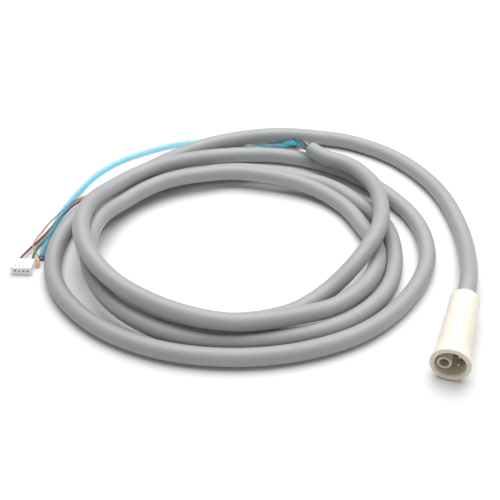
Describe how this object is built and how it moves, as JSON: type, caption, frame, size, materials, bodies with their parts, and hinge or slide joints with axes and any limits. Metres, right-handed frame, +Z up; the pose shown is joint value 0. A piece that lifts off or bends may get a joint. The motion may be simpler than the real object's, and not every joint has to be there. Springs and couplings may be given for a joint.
{
  "type": "dental handpiece hose",
  "caption": "Detachable hose of a dental scaler handpiece: a coiled grey hose with a socket connector and, at its cut end, a water tube and wires to a crimp plug.",
  "frame": {"origin": "On the table that the hose lies on, under the middle of the connector.", "axes": "+Z up from the table. The connector's axis lies along Y, 8.5 mm above the table: its mouth faces -Y and the hose leaves it towards +Y. The loose turns lie on the -X side."},
  "size_m": [0.2148, 0.1944, 0.0249],
  "materials": {
    "cream_plastic": "satin moulded cream plastic",
    "tan_plastic": "satin moulded tan plastic",
    "ivory_plastic": "satin moulded ivory plastic",
    "seal_rubber": "soft black rubber",
    "contact_metal": "plated, semi-bright",
    "barb_brass": "turned, semi-bright",
    "blue_tubing": "glossy translucent blue tubing",
    "red_insulation": "semi-gloss wire insulation",
    "green_insulation": "semi-gloss wire insulation",
    "brown_insulation": "semi-gloss wire insulation",
    "clamp_steel": "crimped sheet steel",
    "grey_sheath": "soft matte light grey sheath",
    "amber_resin": "glossy amber sleeve",
    "white_nylon": "moulded white nylon",
    "terminal_metal": "tinned, semi-bright"
  },
  "bodies": {
    "root": {"connector_shell": "cream_plastic", "connector_core": "tan_plastic", "water_socket": "ivory_plastic", "water_seal": "seal_rubber", "contact_pin_upper": "contact_metal", "contact_pin_lower": "contact_metal", "water_barb": "barb_brass", "inner_water_tube": "blue_tubing", "inner_lead_red": "red_insulation", "inner_lead_green": "green_insulation", "hose_clamp": "clamp_steel", "hose_sheath": "grey_sheath", "water_tube": "blue_tubing", "red_wire": "red_insulation", "green_wire": "green_insulation", "brown_wire": "brown_insulation", "amber_sleeve": "amber_resin", "plug_housing": "white_nylon", "crimp_terminal_red": "terminal_metal", "crimp_terminal_green": "terminal_metal"}
  },
  "joints": []
}
